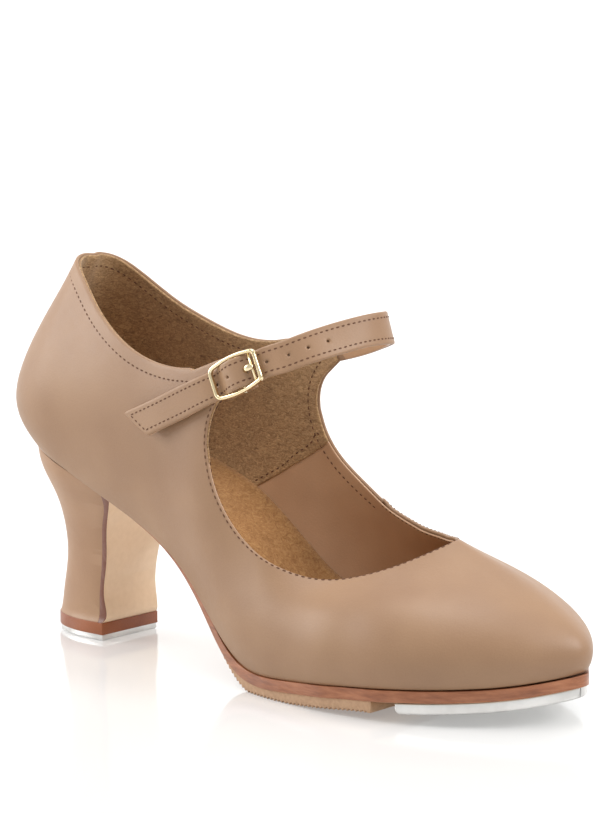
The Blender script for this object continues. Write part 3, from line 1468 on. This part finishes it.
upper_leather = leather_look(
    "upper_leather", srgb(162, 127, 96), srgb(156, 121, 91), srgb(150, 115, 86), gloss=0.46
)
lining_leather = leather_look(
    "lining_leather", srgb(204, 165, 131), srgb(196, 157, 124), srgb(186, 147, 115), gloss=0.3
)
heel_leather = leather_look(
    "heel_leather", srgb(176, 139, 106), srgb(170, 132, 100), srgb(163, 125, 94), gloss=0.46
)
suede = suede_look(
    "brown_suede", srgb(206, 170, 126), srgb(174, 138, 98), srgb(132, 102, 70), streak=(1.0, 1.0, 2.2)
)
sock_suede = suede_look("golden_suede", srgb(182, 138, 88), srgb(164, 119, 73), srgb(140, 97, 57))

pale_edge = Look("pale_cut_edge", roughness=0.6)
pale_edge.colour(pale_edge.ramp(pale_edge.noise(900), (0.3, srgb(216, 188, 156)), (0.7, srgb(236, 214, 186))))
pale_edge.bump(pale_edge.noise(1600), 0.0001, 0.4)


BREAST_END = 0.034  # metres; the outsole's tongue is behind this x


def sole_look():
    """Dark cut edge, and a pale buffed face at the heel breast and underneath."""
    look = Look("sole_leather", roughness=0.42, Coat_Weight=0.15, Coat_Roughness=0.25)
    streaks = look.noise(300, detail=5.0, roughness=0.65, place=look.stretched((0.35, 0.35, 2.2)))
    edge_colour = look.ramp(
        streaks, (0.3, srgb(128, 76, 48)), (0.5, srgb(156, 97, 64)), (0.72, srgb(178, 118, 82))
    )
    grain = look.noise(500, detail=4.0)
    face_colour = look.ramp(grain, (0.3, srgb(232, 202, 168)), (0.7, srgb(238, 209, 176)))
    geometry = look.node("ShaderNodeNewGeometry")
    split = look.node("ShaderNodeSeparateXYZ")
    look.link(geometry.outputs["Normal"], split.inputs["Vector"])
    where = look.node("ShaderNodeSeparateXYZ")
    look.link(look.place, where.inputs["Vector"])
    sideways = look.math("ABSOLUTE", split.outputs["Y"])
    forward = look.math("LESS_THAN", sideways, 0.5)
    at_breast = look.math("LESS_THAN", where.outputs["X"], BREAST_END)
    face = look.math("MULTIPLY", forward, at_breast)
    under = look.math("LESS_THAN", split.outputs["Z"], -0.75)
    any_face = look.math("MAXIMUM", face, under)
    dark_edge = look.mix(at_breast, edge_colour, srgb(112, 62, 40))
    look.colour(look.mix(any_face, dark_edge, face_colour))
    look.bump(streaks, 0.0001, 0.25)
    look.bump(grain, 0.00003, 0.2)
    return look.m


def metal_look(name, colour, dark, gloss, scratch=0.06):
    look = Look(name, metallic=1.0)
    smear = look.noise(90, detail=4.0)
    scratches = look.noise(700, detail=3.0, place=look.stretched((1, 6, 1)))
    look.colour(look.ramp(smear, (0.3, dark), (0.65, colour)))
    look.rough(scratches, gloss - scratch, gloss + scratch)
    look.bump(scratches, 0.00002, 0.25)
    return look.m


def plain_look(name, light, dark, rough, scale=300.0, depth=0.0001):
    look = Look(name, roughness=rough)
    grain = look.noise(scale, detail=4.0)
    look.colour(look.ramp(grain, (0.3, dark), (0.7, light)))
    look.bump(grain, depth, 0.4)
    return look.m


sole_edge = sole_look()
lift_look = leather_look(
    "lift_leather", srgb(164, 96, 56), srgb(144, 80, 45), srgb(118, 62, 34), gloss=0.38, grain=1.5
)
tap_metal = metal_look("tap_alloy", (0.78, 0.77, 0.75), (0.62, 0.61, 0.59), 0.32)
gilt = metal_look("gilt_metal", srgb(250, 236, 200), srgb(236, 214, 168), 0.2, 0.04)
steel = metal_look("screw_steel", (0.62, 0.62, 0.63), (0.5, 0.5, 0.5), 0.35)
rubber = plain_look("tan_rubber", srgb(190, 154, 122), srgb(172, 136, 106), 0.75, 900)
thread = plain_look("brown_thread", srgb(112, 76, 52), srgb(84, 54, 36), 0.8, 2500)
fabric = plain_look("backing_cloth", srgb(214, 206, 190), srgb(196, 188, 170), 0.9, 1500)
board = plain_look("fibre_board", srgb(150, 122, 92), srgb(126, 100, 74), 0.85, 800)
foam = plain_look("latex_foam", srgb(226, 218, 196), srgb(206, 196, 172), 0.9, 1400)
cork = plain_look("cork", srgb(180, 136, 92), srgb(120, 84, 52), 0.9, 700)
plastic = plain_look("moulded_plastic", srgb(222, 212, 194), srgb(210, 200, 182), 0.5, 200, 0.00003)

NODE_LOOKS = {
    "interlining": fabric, "heel_counter": board, "toe_puff": board, "insole_board": board,
    "insole_cushion": foam, "shank": steel, "bottom_filler": cork, "heel_core": plastic,
    "toe_tap_screws": steel, "heel_tap_screws": steel, "heel_nails": steel, "buckle_chape": upper_leather,
}
for node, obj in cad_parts.items():
    obj.data.materials.clear()
    obj.data.materials.append(NODE_LOOKS.get(node, upper_leather))

PIECES = [
    (vamp, [upper_leather], "upper_leather", ["vamp"]),
    (quarter, [upper_leather], "upper_leather", ["medial_quarter", "ankle_strap"]),
    (strap_lining, [lining_leather], "leather_lining", ["strap_lining"]),
    (quarter_lining, [suede, pale_edge.m], "suede_lining", ["quarter_lining"]),
    (cloth, [fabric], "backing_fabric", ["interlining"]),
    (vamp_lining, [lining_leather, pale_edge.m], "leather_lining", ["vamp_lining"]),
    (sock, [sock_suede], "sock_suede", ["sock_lining"]),
    (half_sole, [rubber], "tread_rubber", ["half_sole"]),
    (toe_tap, [tap_metal], "tap_alloy", ["toe_tap"]),
    (outsole, [sole_edge], "sole_leather", ["outsole"]),
    (top_lift, [lift_look], "lift_leather", ["top_lift"]),
    (heel_tap, [tap_metal], "tap_alloy", ["heel_tap"]),
    (heel_cover, [heel_leather], "upper_leather", ["heel_cover"]),
    (buckle, [gilt], "gilt_buckle", ["buckle_frame"]),
    (prong, [gilt], "gilt_buckle", ["buckle_prong"]),
    (upper_thread, [thread], "upper_leather", []),
    (strap_thread, [thread], "upper_leather", []),
    (seam_thread, [thread], "upper_leather", []),
]
BODY = {"buckle_frame_wire": "buckle", "buckle_prong_tongue": "prong"}
BENDING = (quarter, strap_lining, strap_thread)
for obj, looks, slot, nodes in PIECES:
    obj.data.materials.clear()
    for look in looks:
        obj.data.materials.append(look)
    if nodes:
        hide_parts(*nodes)
    if obj in BENDING:
        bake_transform(obj)
    else:
        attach(obj, BODY.get(obj.name, "shoe"))
for obj in (quarter_lining, vamp_lining):
    pale_rim(obj)


# ---------------------------------------------------------------- stage
def stage_sheet(name, corners):
    mesh = bpy.data.meshes.new(name)
    mesh.from_pydata(corners, [], [(0, 1, 2, 3)])
    sheet = bpy.data.objects.new(name, mesh)
    bpy.context.scene.collection.objects.link(sheet)
    return sheet


FLOOR_HALF = 6
floor_corners = [(-1, -1), (1, -1), (1, 1), (-1, 1)]
floor = stage_sheet("floor", [(x * FLOOR_HALF, y * FLOOR_HALF, 0) for x, y in floor_corners])
backdrop = stage_sheet("backdrop", [(-4.2, -1.2, 0), (1.2, 3.5, 0), (1.2, 3.5, 2.4), (-4.2, -1.2, 2.4)])
STAGE_LOOKS = [
    # sheet, material, roughness, colour, glow colour and glow
    (backdrop, "backdrop_paper", 0.9, (0.9, 0.9, 0.9, 1), (1, 1, 1, 1), 0.6),
    (floor, "floor_gloss", 0.1, (0.56, 0.56, 0.555, 1), (1, 1, 0.99, 1), 0.26),
]
for sheet, name, roughness, colour, glow_colour, glow in STAGE_LOOKS:
    look = Look(
        name, roughness=roughness, Base_Color=colour, Emission_Color=glow_colour, Emission_Strength=glow
    )
    sheet.data.materials.append(look.m)

world = bpy.data.worlds.new("studio")
world.use_nodes = True
world.node_tree.nodes["Background"].inputs["Color"].default_value = (1, 1, 1, 1)
world.node_tree.nodes["Background"].inputs["Strength"].default_value = 0.62
bpy.context.scene.world = world
bpy.context.scene.view_settings.view_transform = "Standard"


def aimed(obj, place, aim):
    obj.location = place
    obj.rotation_mode = "QUATERNION"
    obj.rotation_quaternion = (Vector(aim) - Vector(place)).to_track_quat("-Z", "Y")
    bpy.context.scene.collection.objects.link(obj)
    return obj


def soft_light(name, place, aim, size, power):
    data = bpy.data.lights.new(name, "AREA")
    data.shape = "DISK"
    data.size = size
    data.energy = power
    return aimed(bpy.data.objects.new(name, data), place, aim)


SUN_STRENGTH = 1.12
sun_data = bpy.data.lights.new("top_light", "SUN")
sun_data.energy = SUN_STRENGTH
sun_data.angle = math.radians(60)
aimed(bpy.data.objects.new("top_light", sun_data), (0, 0, 2), (0.05, 0.05, 0))
AREA_LIGHTS = [
    # name, place, aimed at, size and watts
    ("left_light", (-0.84, -0.58, 0.5), (0.06, 0, 0.06), 0.8, 7.5),
    ("right_light", (0.9, 0.35, 0.6), (0.12, 0, 0.03), 0.5, 5.2),
    ("inside_light", (0.1, -0.1, 0.85), (0.08, 0.02, 0.05), 0.3, 1.3),
]
for row in AREA_LIGHTS:
    soft_light(*row)

CAMERA_PLACE = (0.6545, -0.6605, 0.2076)
FOCAL_LENGTH = 125.27
AIM = math.radians(40.54)
LOOK_DOWN = math.radians(8.12)
camera_data = bpy.data.cameras.new("camera")
camera = bpy.data.objects.new("camera", camera_data)
bpy.context.scene.collection.objects.link(camera)
level = math.cos(LOOK_DOWN)
back = Vector((math.sin(AIM) * level, -math.cos(AIM) * level, math.sin(LOOK_DOWN)))
camera.location = CAMERA_PLACE
camera.rotation_mode = "QUATERNION"
camera.rotation_quaternion = (-back).to_track_quat("-Z", "Y")
camera_data.sensor_width = 36
camera_data.lens = FOCAL_LENGTH
camera_data.clip_start = 0.05
camera_data.clip_end = 20
bpy.context.scene.camera = camera
